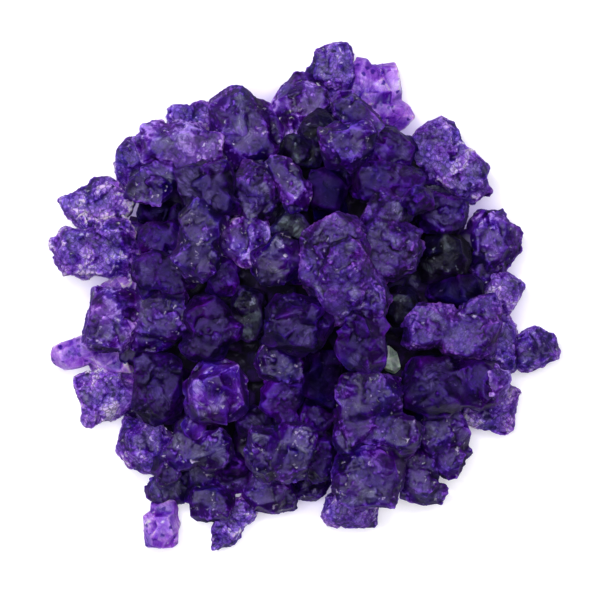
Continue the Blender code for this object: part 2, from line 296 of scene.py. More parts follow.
TOP = (
    ("dusky", ((8.6, 30.0, 10.6, 9.2, 15),)),
    ("dusky", ((10.2, 35.6, 11.6, 5.4, -44), (7.6, 38.4, 4.8, 4.4, 0))),
    ("dusky", ((-2.4, 21.0, 8.2, 5.8, -62), (-4.4, 25.2, 5.2, 4.2, -50))),
    ("frosted", ((-9.8, 20.6, 10.6, 9.2, 70),)),
    ("deep", ((-19.8, 23.0, 11.2, 6.4, 4), (-18.6, 19.0, 9.4, 8.4, -40))),
    ("dusky", ((-5.4, 6.6, 10.0, 8.4, 30),)),
    ("frosted", ((16.6, 16.0, 9.4, 8.8, 60), (17.0, 9.0, 12.4, 12.0, 80))),
    (
        "frosted",
        (
            (6.4, 10.2, 12.4, 11.6, 20),
            (8.0, 2.0, 15.2, 14.4, -60),
            (3.4, 6.0, 9.6, 8.0, 90),
            (11.4, -1.0, 9.0, 8.6, 100),
        ),
    ),
    ("deep", ((-2.4, -6.0, 11.2, 10.4, 80), (1.4, -6.0, 8.0, 7.6, -30))),
    (
        "deep",
        (
            (11.6, -5.0, 4.8, 3.8, 90),
            (14.8, -6.2, 3.6, 3.4, 60),
            (11.0, -10.0, 9.4, 8.0, 30),
            (12.6, -12.6, 6.4, 5.2, 0),
        ),
    ),
    (
        "frosted",
        (
            (25.0, -6.6, 10.8, 8.8, 0),
            (32.0, -8.0, 12.4, 9.2, -15),
            (35.0, -2.6, 8.8, 4.6, 15),
        ),
    ),
    (
        "dusky",
        (
            (12.4, -19.8, 13.8, 9.8, 0),
            (12.0, -24.6, 13.2, 9.4, 0),
            (18.6, -27.4, 9.4, 7.0, -10),
            (8.0, -29.0, 5.2, 5.0, 90),
        ),
    ),
    (
        "polished",
        (
            (-18.2, -19.6, 13.4, 12.8, 100),
            (-17.8, -15.2, 8.4, 5.2, 0),
            (-22.4, -26.0, 6.0, 4.4, 100),
        ),
    ),
    ("dusky", ((-24.4, -31.4, 8.0, 6.6, 60), (-18.6, -31.4, 8.0, 7.0, 20))),
    ("dusky", ((-7.8, -31.4, 9.0, 8.0, 80), (-2.6, -31.4, 12.4, 8.0, 75))),
)
FILLING = (
    ("deep", ((-14.6, -36.6, 8.0, 6.6, 25),)),
)
CHINKS = (
    ("dusky", ((-21.6, -36.2, 8.0, 6.4, 20),)),
    ("pale", ((-34.8, -16.5, 5.4, 4.2, 0),)),
)
print("lumps on top:", len(TOP), "and round the rim:", len(RIM))


# %% [markdown]
# ## Crystals cut by planes
#
# A sugar crystal is a leaning box with its corners cut off at odd angles. The easiest exact
# way to get one is to treat it as a set of planes. The same planes give its height over any
# point of the plan, which the next step needs, and its mesh, by cutting a blank cube.

# %% Crystal planes
DEPTH_SHARE = 0.84  # of the width
MOST_LEAN = 13.0  # degrees
LEVEL_JITTER = 0.10  # of the depth
FACES_CUT = 10
SQUARENESS = 1.5  # 1 is a box, 2 an egg
LEAST_CUT, MOST_CUT = 0.90, 1.03  # of the distance from the middle to the face


def reach(normal, half_sizes):
    """How far a rounded box of these half sizes reaches along a direction from its middle."""
    sides = (abs(n) * half for n, half in zip(normal, half_sizes))
    return sum(side**SQUARENESS for side in sides) ** (1.0 / SQUARENESS)


def cut_crystal(crystal, draw):
    """One crystal as its middle and its faces, rows of (nx, ny, nz, distance from the origin)."""
    right, up, length, width, turn = crystal
    depth = DEPTH_SHARE * width
    half_sizes = [0.5 * MM * side for side in (length, width, depth)]
    normals = [Vector(axis) for axis in np.vstack([np.eye(3), -np.eye(3)])]
    for _ in range(FACES_CUT):
        normals.append(Vector([draw.gauss(0.0, 1.0) for _ in range(3)]).normalized())
    lean = [math.radians(draw.uniform(-MOST_LEAN, MOST_LEAN)) for _ in range(2)]
    turned = (
        Matrix.Rotation(math.radians(turn), 3, "Z")
        @ Matrix.Rotation(lean[0], 3, "X")
        @ Matrix.Rotation(lean[1], 3, "Y")
    )
    level = draw.uniform(-LEVEL_JITTER, LEVEL_JITTER) * depth * MM
    middle = Vector((right * MM + PLAN_SHIFT[0], up * MM + PLAN_SHIFT[1], level))
    planes = []
    for normal in normals:
        distance = reach(normal, half_sizes) * draw.uniform(LEAST_CUT, MOST_CUT)
        outward = turned @ normal
        planes.append((*outward, distance + outward.dot(middle)))
    return middle, np.array(planes)


_, trial_planes = cut_crystal((0.0, 0.0, 10.0, 8.0, 0.0), random.Random(0))
print("a trial crystal has", len(trial_planes), "planes")


# %% Heights of a crystal
UPRIGHT = 1e-6  # a face whose normal rises less than this has no height over the plan


def heights_over(planes, x, y):
    """The lower and upper surface of a convex block of planes over each plan point."""
    low = np.full(x.shape, -np.inf)
    high = np.full(x.shape, np.inf)
    for nx, ny, nz, distance in planes:
        if abs(nz) < UPRIGHT:
            outside = nx * x + ny * y > distance
            high = np.where(outside, -np.inf, high)
            continue
        z = (distance - nx * x - ny * y) / nz
        if nz > 0:
            high = np.minimum(high, z)
        else:
            low = np.maximum(low, z)
    return low, high


trial_low, trial_high = heights_over(trial_planes, np.zeros(1), np.zeros(1))
print("it is", round(1000 * float(trial_high[0] - trial_low[0]), 1), "mm deep over the origin")


# %% [markdown]
# ## Letting the lumps come to rest
#
# A physics simulation would stack the lumps, but never the way the photo shows them. So each
# lump keeps its place in the plan and only its height is found: it comes down until about an
# eighth of it reaches into what lies below, and stays no higher than a mound of loose lumps
# can stand. Under them all are a low core and a ring of half-hidden lumps, which show only
# through the gaps.

# %% Core and mound
CORE_RADIUS = 35.0 * MM
CORE_HEIGHT = 12.5 * MM
CORE_ROUNDNESS = 0.75
MOUND_HEIGHT = 27.5 * MM
MOUND_RADIUS = 62.0 * MM


def core_height(radius):
    """How high the hidden core stands at this distance from the middle of the heap."""
    share = np.clip(1.0 - (radius / CORE_RADIUS) ** 2, 0.0, 1.0)
    return CORE_HEIGHT * share**CORE_ROUNDNESS


def mound_height(radius):
    """How high a lump may stand at this distance from the middle before it slides down."""
    return MOUND_HEIGHT * (1.0 - (radius / MOUND_RADIUS) ** 2)


print("core and mound at the middle:", CORE_HEIGHT / MM, "and", MOUND_HEIGHT / MM, "mm high")


# %% Ring of half-hidden lumps
RING_RADIUS = 33.5  # the ring is in millimetres, as the plan is
RING_COUNT = 20
RING_SEED = 3
RING_LENGTH = (8.0, 11.0)
RING_SLIMNESS = (0.70, 0.90)  # width as a share of the length
RING_STRAY = 1.6
RING_UNEVENNESS = 0.2  # of the step from one lump to the next
CLEAR_ONE = 10  # the one clear lump of the ring, at its left


def ring_lumps():
    """The half-hidden lumps round the core, each one crystal."""
    draw = random.Random(RING_SEED)
    lumps = []
    for number in range(RING_COUNT):
        step = number + draw.uniform(-RING_UNEVENNESS, RING_UNEVENNESS)
        around = math.tau * step / RING_COUNT
        radius = RING_RADIUS + draw.uniform(-RING_STRAY, RING_STRAY)
        length = draw.uniform(*RING_LENGTH)
        width = length * draw.uniform(*RING_SLIMNESS)
        turn = draw.uniform(0.0, 180.0)
        place = (radius * math.cos(around), radius * math.sin(around), length, width, turn)
        lumps.append(("pale" if number == CLEAR_ONE else "shaded", (place,)))
    return lumps


print("lumps in the ring:", len(ring_lumps()))


# %% Settling
CELL = 0.5 * MM
HALF_FIELD = 62.0 * MM
RESTING_SHARE = 0.88  # of a lump that clears what lies below it
TABLE_CONTACT = 0.35 * MM  # how much of a corner is worn flat on the table


def settle(lumps, lifts):
    """How far each lump's mid-level comes to lie above the table."""
    line = np.arange(-HALF_FIELD, HALF_FIELD, CELL) + 0.5 * CELL
    x, y = np.meshgrid(line, line, indexing="ij")
    surface = core_height(np.hypot(x, y))
    rises = []
    for lump, lift in zip(lumps, lifts):
        low = np.full(x.shape, np.inf)
        high = np.full(x.shape, -np.inf)
        for _, planes in lump:
            block_low, block_high = heights_over(planes, x, y)
            covered = block_low < block_high
            low = np.where(covered, np.minimum(low, block_low), low)
            high = np.where(covered, np.maximum(high, block_high), high)
        under = high > low
        on_lumps = np.quantile(surface[under] - low[under], RESTING_SHARE)
        on_table = -low[under].min() - TABLE_CONTACT
        in_mound = mound_height(np.hypot(x[under], y[under]).mean()) - high[under].max()
        rise = max(min(on_lumps, on_table + lift, in_mound), on_table)
        surface[under] = np.maximum(surface[under], high[under] + rise)
        rises.append(rise)
    return rises


print("the plan is sampled every", CELL / MM, "mm")


# %% Settle the lumps
RIM_LIFT = 2.0 * MM  # the highest that a lump of the rim may stand off the table

layers = (
    (ring_lumps(), 0.0),
    (SHADOWED, math.inf),
    (RIM, RIM_LIFT),
    (MIDDLE, math.inf),
    (TOP, math.inf),
    (FILLING, 0.0),
    (CHINKS, 0.0),
)
kinds, lumps, lifts = [], [], []
for layer, lift in layers:
    for kind, crystals in layer:
        draw = random.Random(len(lumps))
        kinds.append(kind)
        lumps.append([cut_crystal(crystal, draw) for crystal in crystals])
        lifts.append(lift)
rises = settle(lumps, lifts)
print(len(lumps), "lumps, the highest mid-level at", round(1000 * max(rises), 1), "mm")


# %% [markdown]
# ## The blanks of the lumps
#
# A lump starts as its crystals, still as separate closed blocks that reach into each other.
# They do not need to be joined cleanly here: the crust is added to them as they are, and a
# voxel remesh then melts everything into one skin. Each block first loses more corners, as if
# it had been knocked about in its bag, and the polished lumps lose the most.

# %% Cutting a block
BLANK_SIZE = 60.0 * MM
SAME_PLACE = 1e-7  # metres: points closer than this to a plane count as on it


def crystal_mesh(cut, crystal, rise):
    """Cuts one crystal from a blank cube and adds it to the open bmesh of its lump."""
    middle, planes = crystal
    block = bmesh.new()
    bmesh.ops.create_cube(block, size=BLANK_SIZE)
    bmesh.ops.translate(block, verts=block.verts, vec=middle)
    for nx, ny, nz, distance in planes:
        normal = Vector((nx, ny, nz))
        whole = [*block.verts, *block.edges, *block.faces]
        made = bmesh.ops.bisect_plane(
            block,
            geom=whole,
            dist=SAME_PLACE,
            plane_co=normal * distance,
            plane_no=normal,
            clear_outer=True,
        )
        rim = [item for item in made["geom_cut"] if isinstance(item, bmesh.types.BMEdge)]
        if rim:
            bmesh.ops.contextual_create(block, geom=rim)
    bmesh.ops.translate(block, verts=block.verts, vec=Vector((0.0, 0.0, rise)))
    bmesh.ops.recalc_face_normals(block, faces=block.faces)
    part = bpy.data.meshes.new("block")
    block.to_mesh(part)
    block.free()
    cut.from_mesh(part)
    bpy.data.meshes.remove(part)


print("a blank cube is", round(1000 * BLANK_SIZE), "mm wide")


# %% Blanks
MORE_FACES = {"polished": 24}
USUAL_MORE_FACES = 10
MORE_CUT = (0.82, 1.0)  # of the distance from the middle to the corner
GROWN = 0.3 * MM  # makes up for what smoothing takes off


def worn(crystal, kind, draw):
    """The same crystal a little larger, with more of its corners taken off."""
    middle, planes = crystal
    axes = planes[:3, :3]
    half_sizes = [plane[3] - Vector(plane[:3]).dot(middle) for plane in planes[:3]]
    corners = []
    for _ in range(MORE_FACES.get(kind, USUAL_MORE_FACES)):
        normal = Vector([draw.gauss(0.0, 1.0) for _ in range(3)]).normalized()
        distance = reach(axes @ normal, half_sizes) * draw.uniform(*MORE_CUT)
        corners.append((*normal, distance + normal.dot(middle)))
    grown = np.vstack([planes, np.array(corners)])
    grown[:, 3] += GROWN
    return middle, grown


def blank_object(name, kind, lump, rise):
    """The blocks of one lump as one object."""
    cut = bmesh.new()
    draw = random.Random(name)
    for crystal in lump:
        crystal_mesh(cut, worn(crystal, kind, draw), rise)
    mesh = bpy.data.meshes.new(name)
    cut.to_mesh(mesh)
    cut.free()
    obj = bpy.data.objects.new(name, mesh)
    scene.collection.objects.link(obj)
    return obj


blanks = [
    blank_object(f"lump_{number:02d}", kind, lump, rise)
    for number, (kind, lump, rise) in enumerate(zip(kinds, lumps, rises))
]
print("blanks:", len(blanks))


# %% [markdown]
# ## The crust
#
# Small crystals sit all over a lump, a few large buds first and then a fine crust, thick in
# one place and missing in the next. A bumpy texture could push the skin in and out instead,
# but it has no flat facets, and nothing in it leans over its neighbour. So Geometry Nodes
# scatter points on the faces, put a crystal on each, turned and sized at random, and sink it
# in a little. The same tree is used twice on each lump, with other sizes, and once on the
# core, with crystals as large as lumps.

# %% Crystal shapes for the crust
SHAPE_COUNT = 5
FIRST_SHAPE_SEED = 100
SHAPE_SLIMNESS = (0.72, 0.98)  # width as a share of the length

shapes = bpy.data.collections.new("crystal_shapes")
for number in range(SHAPE_COUNT):
    draw = random.Random(FIRST_SHAPE_SEED + number)
    unit = (0.0, 0.0, 1.0, draw.uniform(*SHAPE_SLIMNESS), 0.0)
    middle, planes = cut_crystal(unit, draw)
    middle -= Vector((*PLAN_SHIFT, 0.0))
    planes[:, 3] -= planes[:, :2] @ np.array(PLAN_SHIFT)
    cut = bmesh.new()
    crystal_mesh(cut, (middle, planes), 0.0)
    bmesh.ops.scale(cut, verts=cut.verts, vec=Vector((1.0, 1.0, 1.0)) / MM)
    mesh = bpy.data.meshes.new(f"crystal_shape_{number}")
    cut.to_mesh(mesh)
    cut.free()
    shapes.objects.link(bpy.data.objects.new(mesh.name, mesh))


# %% Starting a tree and setting its inputs
def new_tree(name, sockets):
    """A geometry node tree with these named inputs, and one geometry in and out."""
    tree = bpy.data.node_groups.new(name, "GeometryNodeTree")
    tree.interface.new_socket("Geometry", in_out="INPUT", socket_type="NodeSocketGeometry")
    for label, kind in sockets:
        tree.interface.new_socket(label, in_out="INPUT", socket_type=f"NodeSocket{kind}")
    tree.interface.new_socket("Geometry", in_out="OUTPUT", socket_type="NodeSocketGeometry")
    return tree, tree.nodes.new("NodeGroupInput").outputs


def add_nodes_modifier(obj, name, tree, values):
    """Puts the tree on the object, with its inputs set by their identifiers."""
    modifier = obj.modifiers.new(name, "NODES")
    modifier.node_group = tree
    for item in tree.interface.items_tree:
        if item.in_out == "INPUT" and item.name in values:
            modifier[item.identifier] = values[item.name]


print("modifiers on the first blank so far:", len(blanks[0].modifiers))


# %% Patches of crust
PATCH_EDGE = 0.06  # of the noise, to each side


def patches(tree, given):
    """How much of the crust there is at each point: 1 in a patch of it, 0 between patches."""
    place = add(tree, "GeometryNodeInputPosition")
    scale = add(tree, "ShaderNodeMath", {0: 1.0, 1: given["Patch Width"]}, operation="DIVIDE")
    noise = add(
        tree,
        "ShaderNodeTexNoise",
        {"Vector": place, "Scale": scale, "W": given["Seed"], "Detail": 1.0},
        noise_dimensions="4D",
    )
    bare = add(tree, "ShaderNodeMath", {0: 1.0, 1: given["Cover"]}, operation="SUBTRACT")
    start = add(tree, "ShaderNodeMath", {0: bare, 1: PATCH_EDGE}, operation="SUBTRACT")
    full = add(tree, "ShaderNodeMath", {0: bare, 1: PATCH_EDGE}, operation="ADD")
    return add(tree, "ShaderNodeMapRange", {"Value": noise, "From Min": start, "From Max": full})


print("a patch of crust fades over", 2 * PATCH_EDGE, "of the noise")


# %% Crust tree: its inputs and its points
MOST_PER_CELL = 2.0  # points tried on each square as wide as the spacing

crust_tree, given = new_tree(
    "sugar_crust",
    (
        ("Spacing", "Float"),
        ("Smallest", "Float"),
        ("Largest", "Float"),
        ("Sink", "Float"),
        ("Cover", "Float"),
        ("Patch Width", "Float"),
        ("Seed", "Int"),
        ("Material", "Material"),
    ),
)
covered = patches(crust_tree, given)
cell_area = add(
    crust_tree, "ShaderNodeMath", {0: given["Spacing"], 1: given["Spacing"]}, operation="MULTIPLY"
)
per_area = add(
    crust_tree, "ShaderNodeMath", {0: MOST_PER_CELL, 1: cell_area}, operation="DIVIDE"
)
points = add(
    crust_tree,
    "GeometryNodeDistributePointsOnFaces",
    {
        "Mesh": given["Geometry"],
        "Distance Min": given["Spacing"],
        "Density Max": per_area,
        "Density Factor": covered,
        "Seed": given["Seed"],
    },
    distribute_method="POISSON",
)
print("nodes for the points:", len(crust_tree.nodes))


# %% Crust tree: a sunk crystal on every point
size = add(
    crust_tree,
    "FunctionNodeRandomValue",
    {"Min": given["Smallest"], "Max": given["Largest"], "Seed": given["Seed"]},
    data_type="FLOAT",
)
outward = add(crust_tree, "ShaderNodeMath", {0: given["Sink"], 1: -1.0}, operation="MULTIPLY")
depth = add(crust_tree, "ShaderNodeMath", {0: size, 1: outward}, operation="MULTIPLY")
sunk = add(
    crust_tree, "ShaderNodeVectorMath", {0: points.outputs["Normal"], "Scale": depth}, operation="SCALE"
)
placed = add(crust_tree, "GeometryNodeSetPosition", {"Geometry": points, "Offset": sunk})
turn = add(
    crust_tree,
    "FunctionNodeRandomValue",
    {"Max": (math.tau, math.tau, math.tau), "Seed": given["Seed"]},
    data_type="FLOAT_VECTOR",
)
all_shapes = add(
    crust_tree,
    "GeometryNodeCollectionInfo",
    {"Collection": shapes, "Separate Children": True, "Reset Children": True},
)
crust = add(
    crust_tree,
    "GeometryNodeInstanceOnPoints",
    {"Points": placed, "Instance": all_shapes, "Pick Instance": True, "Rotation": turn, "Scale": size},
)
whole = add(crust_tree, "GeometryNodeJoinGeometry", {0: given["Geometry"]})
crust_tree.links.new(crust.outputs[0], whole.inputs[0])
solid = add(crust_tree, "GeometryNodeRealizeInstances", {0: whole})
dressed = add(crust_tree, "GeometryNodeSetMaterial", {0: solid, "Material": given["Material"]})
add(crust_tree, "NodeGroupOutput", {0: dressed})
print("crust tree:", len(crust_tree.nodes), "nodes")


# %% [markdown]
# ## Weathering
#
# Real sugar has begun to dissolve and grow again: its faces swell a little, break into smaller
# flats and carry a fine grain. Bump in the material would not show in the outline of a lump,
# so the second tree adds the three to the mesh, as waves along the normal, and keeps
# everything above the table. It also notes five things at each point, which the material
# reads later: how far the point stands out of its close and of its wide surroundings, how
# level the skin lies there, how much crust it has, and one lot that is drawn for the lump.

# %% Weathering tree: its inputs
weather_tree, given = new_tree(
    "weathered_sugar",
    (
        ("Swell", "Float"),
        ("Swell Width", "Float"),
        ("Facet Tilt", "Float"),
        ("Facet Width", "Float"),
        ("Grain Tilt", "Float"),
        ("Grain Width", "Float"),
        ("Edge Depth", "Float"),
        ("Cover", "Float"),
        ("Patch Width", "Float"),
        ("Seed", "Int"),
        ("Material", "Material"),
    ),
)
place = add(weather_tree, "GeometryNodeInputPosition")
normal = add(weather_tree, "GeometryNodeInputNormal")
print("inputs of the weathering:", len(given) - 1)


# %% Weathering tree: facets
def facets(width, tilt):
    """Cells of this width, each a plane that is tilted its own way."""
    scale = add(weather_tree, "ShaderNodeMath", {0: 1.0, 1: width}, operation="DIVIDE")
    cells = add(weather_tree, "ShaderNodeTexVoronoi", {"Vector": place, "Scale": scale})
    away = add(
        weather_tree,
        "ShaderNodeVectorMath",
        {0: place, 1: cells.outputs["Position"]},
        operation="SUBTRACT",
    )
    lean = add(
        weather_tree,
        "ShaderNodeVectorMath",
        {0: cells.outputs["Color"], 1: (0.5, 0.5, 0.5)},
        operation="SUBTRACT",
    )
    rise = add(weather_tree, "ShaderNodeVectorMath", {0: away, 1: lean}, operation="DOT_PRODUCT")
    return add(weather_tree, "ShaderNodeMath", {0: rise, 1: tilt}, operation="MULTIPLY")


flats = facets(given["Facet Width"], given["Facet Tilt"])
grain = facets(given["Grain Width"], given["Grain Tilt"])
print("nodes for the facets:", len(weather_tree.nodes))


# %% Weathering tree: the waves added up
LOWEST = 0.05 * MM  # above the table

swell_scale = add(
    weather_tree, "ShaderNodeMath", {0: 1.0, 1: given["Swell Width"]}, operation="DIVIDE"
)
noise = add(
    weather_tree, "ShaderNodeTexNoise", {"Vector": place, "Scale": swell_scale, "Detail": 2.0}
)
centred = add(weather_tree, "ShaderNodeMath", {0: noise, 1: 0.5}, operation="SUBTRACT")
swell = add(weather_tree, "ShaderNodeMath", {0: centred, 1: given["Swell"]}, operation="MULTIPLY")
relief = add(weather_tree, "ShaderNodeMath", {0: flats, 1: grain}, operation="ADD")
total = add(weather_tree, "ShaderNodeMath", {0: swell, 1: relief}, operation="ADD")
offset = add(weather_tree, "ShaderNodeVectorMath", {0: normal, "Scale": total}, operation="SCALE")
moved = add(
    weather_tree, "GeometryNodeSetPosition", {"Geometry": given["Geometry"], "Offset": offset}
)
above = add(
    weather_tree, "ShaderNodeVectorMath", {0: place, 1: (-1.0, -1.0, LOWEST)}, operation="MAXIMUM"
)
rested = add(weather_tree, "GeometryNodeSetPosition", {"Geometry": moved, "Position": above})
print("nodes for the waves:", len(weather_tree.nodes))


# %% Weathering tree: the notes for the material
CLOSE_ROUNDS, WIDE_ROUNDS = 4, 30  # rounds of blurring over neighbouring points


def standing_out(rounds):
    """How far each point stands out of its surroundings, in Edge Depths."""
    around = add(
        weather_tree,
        "GeometryNodeBlurAttribute",
        {"Value": place, "Iterations": rounds},
        data_type="FLOAT_VECTOR",
    )
    proud = add(weather_tree, "ShaderNodeVectorMath", {0: place, 1: around}, operation="SUBTRACT")
    proud_by = add(
        weather_tree, "ShaderNodeVectorMath", {0: proud, 1: normal}, operation="DOT_PRODUCT"
    )
    return add(
        weather_tree, "ShaderNodeMath", {0: proud_by, 1: given["Edge Depth"]}, operation="DIVIDE"
    )


facing = add(weather_tree, "ShaderNodeSeparateXYZ", {0: normal})
notes = {
    "edge": standing_out(CLOSE_ROUNDS),
    "ridge": standing_out(WIDE_ROUNDS),
    "up": add(
        weather_tree,
        "GeometryNodeBlurAttribute",
        {"Value": facing.outputs["Z"], "Iterations": CLOSE_ROUNDS},
        data_type="FLOAT",
    ),
    "crust": patches(weather_tree, given),
    "lot": add(
        weather_tree, "ShaderNodeTexWhiteNoise", {"W": given["Seed"]}, noise_dimensions="1D"
    ),
}
noted = rested
for label, value in notes.items():
    noted = add(
        weather_tree,
        "GeometryNodeStoreNamedAttribute",
        {"Geometry": noted, "Name": label, "Value": value},
        data_type="FLOAT",
        domain="POINT",
    )
smooth = add(weather_tree, "GeometryNodeSetShadeSmooth", {0: noted, "Shade Smooth": True})
solid = add(weather_tree, "GeometryNodeRealizeInstances", {0: smooth})
dressed = add(weather_tree, "GeometryNodeSetMaterial", {0: solid, "Material": given["Material"]})
add(weather_tree, "NodeGroupOutput", {0: dressed})
print("weathering tree:", len(weather_tree.nodes), "nodes")


# %% [markdown]
# ## Boiled sugar
#
# Boiled sugar is a clear solid with an index of refraction of 1.54, polished where a crystal
# face is whole and dull where it has dissolved. Blender's glass alone would show the white
# card through every lump, so most of the light wanders about inside instead, as subsurface
# scattering, and only a share goes straight through. All the sugar here is one material with
# other colours and amounts for each kind of lump, and it is built from parts, one to a cell.
#
# Several parts read the same patterns, so those come first: the notes of the weathering, a
# swirl that keeps the patterns from looking regular, the crystal faces as cells, the lines
# along which a face grew, and a fine mottle. Growth lines are finer than a tenth of a
# millimetre on real sugar, and are drawn coarser here so that they show.

# %% Widths of the patterns
# Widths in millimetres, here and in the parts that follow.
FACET = 3.2
GRAIN = 0.9
SWIRL = 1.2
GROWTH_LINE = 0.45
MOTTLE = 1.6


def scale_of(millimetres):
    """The Scale that makes a texture's pattern this wide."""
    return 1.0 / (millimetres * MM)


print("scale of the crystal faces:", round(scale_of(FACET)))


# %% Patterns that the parts share
def shared_patterns(tree):
    """What more than one part reads at each point, by name."""
    place = add(tree, "ShaderNodeTexCoord").outputs["Object"]
    swirl = add(
        tree, "ShaderNodeTexNoise", {"Vector": place, "Scale": scale_of(SWIRL), "Detail": 1.0}
    )
    swirled = add(
        tree,
        "ShaderNodeVectorMath",
        {0: swirl.outputs["Color"], 1: (MM, MM, MM), 2: place},
        operation="MULTIPLY_ADD",
    )
    faces = add(tree, "ShaderNodeTexVoronoi", {"Vector": place, "Scale": scale_of(FACET)})
    slope = add(
        tree,
        "ShaderNodeVectorMath",
        {0: faces.outputs["Color"], 1: (0.5, 0.5, 0.5)},
        operation="SUBTRACT",
    )
    across = add(tree, "ShaderNodeVectorMath", {0: slope}, operation="NORMALIZE")
    along = add(tree, "ShaderNodeVectorMath", {0: swirled, 1: across}, operation="DOT_PRODUCT")
    lines = add(
        tree,
        "ShaderNodeTexNoise",
        {"W": along.outputs["Value"], "Scale": scale_of(GROWTH_LINE), "Detail": 2.0},
        noise_dimensions="1D",
    )
    mottle = add(
        tree,
        "ShaderNodeTexNoise",
        {"Vector": swirled, "Scale": scale_of(MOTTLE), "Detail": 5.0, "Roughness": 0.65},
    )
    shared = {
        "place": place,
        "swirled": swirled,
        "face lot": add(tree, "ShaderNodeSeparateColor", {0: faces.outputs["Color"]}),
        "lines": lines,
        "mottle": add(tree, "ShaderNodeMath", {0: mottle, 1: 0.5}, operation="SUBTRACT"),
    }
    for label in notes:
        shared[label] = add(tree, "ShaderNodeAttribute", attribute_name=label).outputs["Fac"]
    return shared


print("notes that every sugar reads:", ", ".join(notes))


# %% [markdown]
# ### The dye, with painted light and shade
#
# Sugar takes its dye unevenly: in clouds a few millimetres wide, in a mottle, and a little
# more on one crystal face, growth line or lump than on the next. Light and shade are painted
# in with it: edges and ridges get a painted light and hollows a painted shade, and the steep
# sides of clear lumps are painted a little lighter, as if light came through them. A picture
# painted for each lump could show all this, but noise in the heap's own space fits every lump
# as it is. It is added up to one number, and a ramp turns that into the colours of the dye,
# from thick to thin. Last, the hue drifts slowly from bluer to redder and back, as it does
# across the lumps of the photo.

# %% How thick the dye is, with painted light and shade
CLOUD = 4.5
# Shares of the ramp, from the thickest dye to the thinnest.
MIDDLE_LEVEL = 0.33
FACE_STEP = 0.20
# Painted light on edges and ridges and painted shade in hollows, as shares of the ramp.
EDGE_STEP = 0.18
HOLLOW_STEP, RIDGE_STEP = -0.26, 0.12
BARE_MOTTLE, CRUST_MOTTLE = 0.4, 0.95


def dye_level(tree, shared, look):
    """How thin the dye is, with painted light and shade added: 0 where it is thickest, 1 where it is
    thinnest.
    """
    clouds = add(
        tree,
        "ShaderNodeTexNoise",
        {"Vector": shared["place"], "Scale": scale_of(CLOUD), "Detail": 2.0},
    )
    mottled = add(
        tree,
        "ShaderNodeMapRange",
        {"Value": shared["crust"], "To Min": BARE_MOTTLE, "To Max": CRUST_MOTTLE},
    )
    ranges = (
        # edge and ridge: painted light on what stands out, painted shade in hollows; up: painted light
        # on steep sides
        ("edge", -1.0, 1.0, -EDGE_STEP, EDGE_STEP),
        ("ridge", -5.0, 5.0, HOLLOW_STEP, RIDGE_STEP),
        ("up", 0.1, 0.7, look["thin_sides"], 0.0),
        ("lot", 0.0, 1.0, -look["spread"], look["spread"]),
        ("lines", 0.0, 1.0, -look["lines"], look["lines"]),
    )
    level = MIDDLE_LEVEL - 0.5 * look["contrast"]
    terms = [
        (clouds, look["contrast"]),
        (shared["mottle"], mottled),
        (shared["face lot"], FACE_STEP),
    ]
    for label, start, end, low, high in ranges:
        step = add(
            tree,
            "ShaderNodeMapRange",
            {"Value": shared[label], "From Min": start, "From Max": end, "To Min": low, "To Max": high},
        )
        terms.append((step, 1.0))
    for term, amount in terms:
        level = add(tree, "ShaderNodeMath", {0: term, 1: amount, 2: level}, operation="MULTIPLY_ADD")
    return level


print("clouds of dye:", CLOUD, "mm wide")


# %% The colour of the dye
DRIFT = 5.0
DRIFT_SPAN = (0.3, 0.7)  # of the noise, which seldom leaves it
BLUER, REDDER = 0.492, 0.530  # 0.5 leaves the hue as it is
DEEPENED = 1.04


def dyed(tree, shared, look, dyes):
    """The colour of the dye, from the first of these colours to the last."""
    ramp = add(tree, "ShaderNodeValToRGB", {0: dye_level(tree, shared, look)})
    stops = ramp.color_ramp.elements
    while len(stops) < len(dyes):
        stops.new(1.0)
    for number, hex_colour in enumerate(dyes):
        stops[number].position = number / (len(dyes) - 1)
        stops[number].color = linear(hex_colour)
    drift = add(
        tree,
        "ShaderNodeTexNoise",
        {"Vector": shared["place"], "Scale": scale_of(DRIFT), "W": 3.0, "Detail": 2.0},
        noise_dimensions="4D",
    )
    hue = add(
        tree,
        "ShaderNodeMapRange",
        {
            "Value": drift,
            "From Min": DRIFT_SPAN[0],
            "From Max": DRIFT_SPAN[1],
            "To Min": BLUER,
            "To Max": REDDER,
        },
    )
    return add(
        tree, "ShaderNodeHueSaturation", {"Hue": hue, "Saturation": DEEPENED, "Color": ramp}
    )


print("the hue drifts over", DRIFT, "mm")


# %% [markdown]
# ### The frost, and painted sheen
#
# Faces that lie level carry sugar dust, which makes them milky, and the same paint stands in
# for the sheen of the lamp above: partly dust, partly painted sheen. Some also have a clouded
# patch like a frosted window, scoured along the growth lines, partly frost and partly a painted
# reflection of that lamp. Both are painted over the dye by the note on how level the skin
# lies, so they stay on top of a lump from wherever it is seen.

# %% Dust and painted sheen
DUST_LIES = (0.75, 0.99)  # how level the skin is where dust begins, and where it is full
STEEP_FROSTING = -0.3
CRUST_FROSTING = 0.2
DUST_MOTTLE = 1.5


def dusted(tree, shared, look, frost, dye):
    """The dye's colour under dust and painted sheen."""
    lying = add(
        tree,
        "ShaderNodeMapRange",
        {
            "Value": shared["up"],
            "From Min": DUST_LIES[0],
            "From Max": DUST_LIES[1],
            "To Min": STEEP_FROSTING,
            "To Max": look["frosting"],
        },
    )
    held = add(
        tree,
        "ShaderNodeMath",
        {0: shared["crust"], 1: CRUST_FROSTING, 2: lying},
        operation="MULTIPLY_ADD",
    )
    dust = add(
        tree,
        "ShaderNodeMath",
        {0: shared["mottle"], 1: DUST_MOTTLE, 2: held},
        operation="MULTIPLY_ADD",
        use_clamp=True,
    )
    return add(
        tree, "ShaderNodeMix", {"Factor": dust, "A": dye, "B": linear(frost)}, data_type="RGBA"
    )


print("dust lies where the skin is more level than", DUST_LIES[0])


# %% Clouded patches and painted sheen
WINDOW = 3.5
WINDOW_EDGE = (0.54, 0.68)  # the peaks of a noise, from their foot to where they are full
WINDOW_LIES = (0.7, 0.95)
SCOURED = 0.15  # what a growth line leaves of a clouded patch


